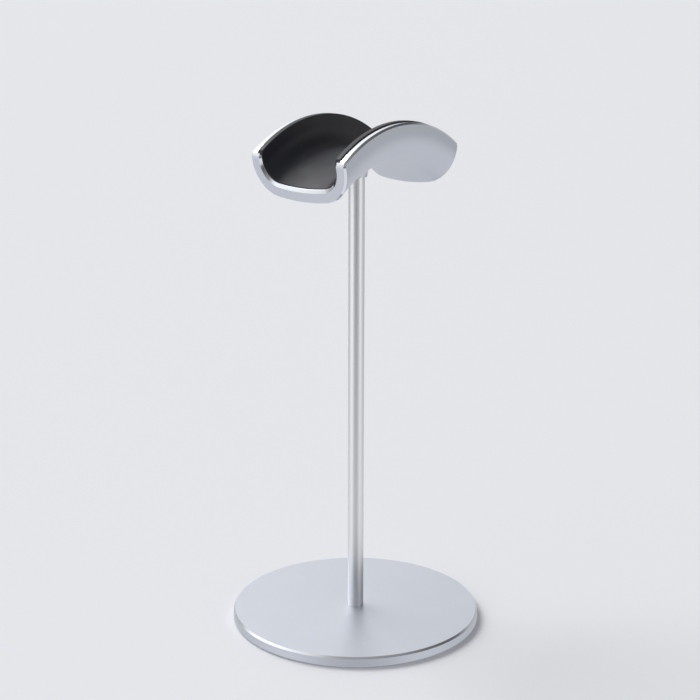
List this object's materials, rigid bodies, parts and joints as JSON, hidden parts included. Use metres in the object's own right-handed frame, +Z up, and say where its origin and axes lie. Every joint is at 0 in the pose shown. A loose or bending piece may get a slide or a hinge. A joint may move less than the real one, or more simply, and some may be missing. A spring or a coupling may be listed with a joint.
{
  "type": "headphone stand",
  "caption": "Desktop headphone stand: round base plate, thin pole and an arched saddle cradle with a soft black liner.",
  "frame": {"origin": "centre of the foot pad's underside, on the surface the stand rests on", "axes": "+Z up along the pole; +X the way the headband runs through the cradle; +Y across the cradle to a side wall"},
  "size_m": [0.125, 0.125, 0.2555],
  "materials": {
    "blasted_aluminium": "bead-blasted and clear anodised, with a bright cut bevel",
    "blasted_aluminium_cradle": "bead-blasted and clear anodised casting, with bright cut bevels and rims",
    "drawn_aluminium": "drawn rod, semi-bright",
    "zinc_steel": "zinc-plated",
    "black_steel": "black oxide",
    "liner_silicone": "smooth black silicone, soft sheen",
    "foot_rubber": "matte closed-cell foam rubber",
    "adhesive": "thin adhesive film"
  },
  "bodies": {
    "root": {"base_plate": "blasted_aluminium", "foot_pad": "foot_rubber", "foot_pad_adhesive": "adhesive", "base_screw": "zinc_steel", "pole": "drawn_aluminium", "top_stud": "black_steel", "cradle": "blasted_aluminium_cradle", "cradle_pad": "liner_silicone", "cradle_pad_adhesive": "adhesive"}
  },
  "joints": []
}
